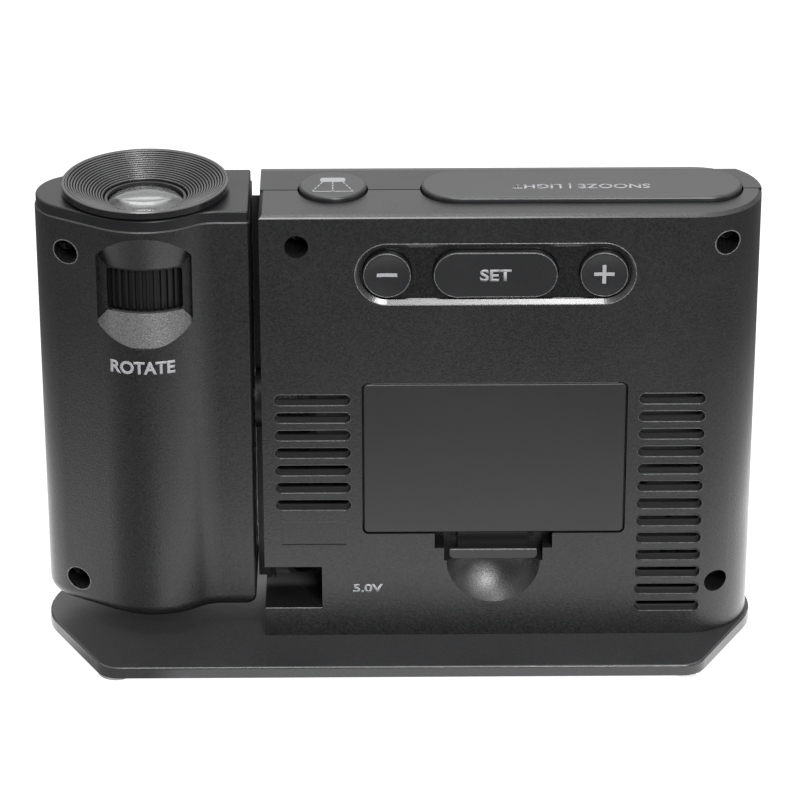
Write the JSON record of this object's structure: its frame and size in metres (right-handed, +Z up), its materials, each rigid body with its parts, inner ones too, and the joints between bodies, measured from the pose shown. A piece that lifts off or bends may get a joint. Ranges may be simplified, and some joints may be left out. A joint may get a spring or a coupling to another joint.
{
  "type": "radio-controlled projection alarm clock",
  "caption": "Radio-controlled alarm clock with a digital display in front, buttons, battery cover and supply socket at the rear, and a tilting projector arm at one end.",
  "frame": {"origin": "on the table, under the middle of the base plate", "axes": "+X from the middle towards the projector arm, +Y to the rear where the buttons and battery cover are, +Z up"},
  "size_m": [0.167, 0.0608, 0.1139],
  "materials": {
    "antenna_coil": "wound copper wire",
    "antenna_rod": "sintered, dark",
    "antenna_saddles": "plain",
    "arm_cap": "satin",
    "arm_front_shell": "satin",
    "arm_rear_shell": "fine grain",
    "arm_screws": "blackened",
    "base_feet": "translucent, soft",
    "base_plate": "fine grain",
    "base_screws": "plated",
    "battery_cells": "plain sleeve",
    "battery_contacts": "plated",
    "battery_cover": "satin, smooth",
    "battery_springs": "plated",
    "board_screws": "plated",
    "button_board": "green board",
    "button_board_stand": "plain",
    "condenser_lens": "clear",
    "controller_chip": "plain",
    "display_backlight": "white",
    "display_panel": "dark panel with light digits",
    "display_window": "clear, smoked",
    "focus_ring": "gloss, ribbed",
    "front_bezel": "gloss",
    "front_shell": "satin",
    "hinge_axle": "smooth",
    "hinge_clip": "spring steel",
    "hinge_washer": "slippery plastic",
    "image_panel": "dark panel",
    "jack_pin": "plated",
    "keypad_mat": "soft",
    "lamp": "clear red",
    "lamp_board": "green board",
    "lamp_housing": "plain",
    "lens_barrel": "plain",
    "lens_mount": "plain",
    "main_board": "green board",
    "minus_button": "satin",
    "plus_button": "satin",
    "power_jack": "plain",
    "projection_lens": "clear",
    "projector_button": "satin",
    "rear_screws": "blackened",
    "rear_shell": "fine grain",
    "rotate_wheel": "satin, ribbed",
    "set_button": "satin",
    "snooze_bar": "satin",
    "sounder": "plain",
    "top_board": "green board",
    "top_switches": "plain"
  },
  "bodies": {
    "base": {"base_plate": "base_plate", "base_feet": "base_feet", "base_screws": "base_screws", "rear_shell": "rear_shell", "front_shell": "front_shell", "front_bezel": "front_bezel", "display_window": "display_window", "display_panel": "display_panel", "display_backlight": "display_backlight", "main_board": "main_board", "board_screws": "board_screws", "controller_chip": "controller_chip", "rear_screws": "rear_screws", "battery_cells": "battery_cells", "battery_contacts": "battery_contacts", "battery_springs": "battery_springs", "power_jack": "power_jack", "jack_pin": "jack_pin", "keypad_mat": "keypad_mat", "button_board": "button_board", "button_board_stand": "button_board_stand", "top_board": "top_board", "top_switches": "top_switches", "antenna_rod": "antenna_rod", "antenna_coil": "antenna_coil", "antenna_saddles": "antenna_saddles", "sounder": "sounder", "hinge_washer": "hinge_washer"},
    "arm": {"arm_rear_shell": "arm_rear_shell", "arm_front_shell": "arm_front_shell", "arm_cap": "arm_cap", "arm_screws": "arm_screws", "lens_mount": "lens_mount", "lamp_housing": "lamp_housing", "condenser_lens": "condenser_lens", "lamp_board": "lamp_board", "lamp": "lamp", "hinge_axle": "hinge_axle", "hinge_clip": "hinge_clip"},
    "focus_ring": {"focus_ring": "focus_ring"},
    "lens": {"lens_barrel": "lens_barrel", "projection_lens": "projection_lens"},
    "wheel": {"rotate_wheel": "rotate_wheel", "image_panel": "image_panel"},
    "minus_button": {"minus_button": "minus_button"},
    "set_button": {"set_button": "set_button"},
    "plus_button": {"plus_button": "plus_button"},
    "projector_button": {"projector_button": "projector_button"},
    "snooze_bar": {"snooze_bar": "snooze_bar"},
    "battery_cover": {"battery_cover": "battery_cover"}
  },
  "joints": [
    {"name": "arm_tilt", "type": "hinge", "parent": "base", "child": "arm", "pos_m": [0.0338, 0, 0.059], "axis": [-1, 0, 0], "range_deg": [-90, 90]},
    {"name": "focus_turn", "type": "hinge", "parent": "arm", "child": "focus_ring", "pos_m": [0.0577, 0, 0.1115], "axis": [0, 0, 1], "range_deg": [-60, 60]},
    {"name": "lens_travel", "type": "slide", "parent": "arm", "child": "lens", "axis": [0, 0, 1], "range_m": [-0.001, 0.001]},
    {"name": "image_turn", "type": "hinge", "parent": "arm", "child": "wheel", "pos_m": [0.0577, 0, 0.093], "axis": [0, 0, 1], "range_deg": [-90, 90]},
    {"name": "minus_press", "type": "slide", "parent": "base", "child": "minus_button", "axis": [0, -1, 0], "range_m": [0, 0.0008], "stiffness_N_per_m": 400},
    {"name": "set_press", "type": "slide", "parent": "base", "child": "set_button", "axis": [0, -1, 0], "range_m": [0, 0.0008], "stiffness_N_per_m": 400},
    {"name": "plus_press", "type": "slide", "parent": "base", "child": "plus_button", "axis": [0, -1, 0], "range_m": [0, 0.0008], "stiffness_N_per_m": 400},
    {"name": "projector_press", "type": "slide", "parent": "base", "child": "projector_button", "axis": [0, 0, -1], "range_m": [0, 0.001], "stiffness_N_per_m": 600, "springref_m": -0.0005},
    {"name": "snooze_press", "type": "slide", "parent": "base", "child": "snooze_bar", "axis": [0, 0, -1], "range_m": [0, 0.001], "stiffness_N_per_m": 600, "springref_m": -0.0005},
    {"name": "cover_swing", "type": "hinge", "parent": "base", "child": "battery_cover", "pos_m": [-0.0217, 0.0152, 0.06935], "axis": [1, 0, 0], "range_deg": [0, 70]}
  ],
  "couplings": [
    {"joint": "lens_travel", "follows": "focus_turn", "m_per_rad": 0.00095}
  ]
}
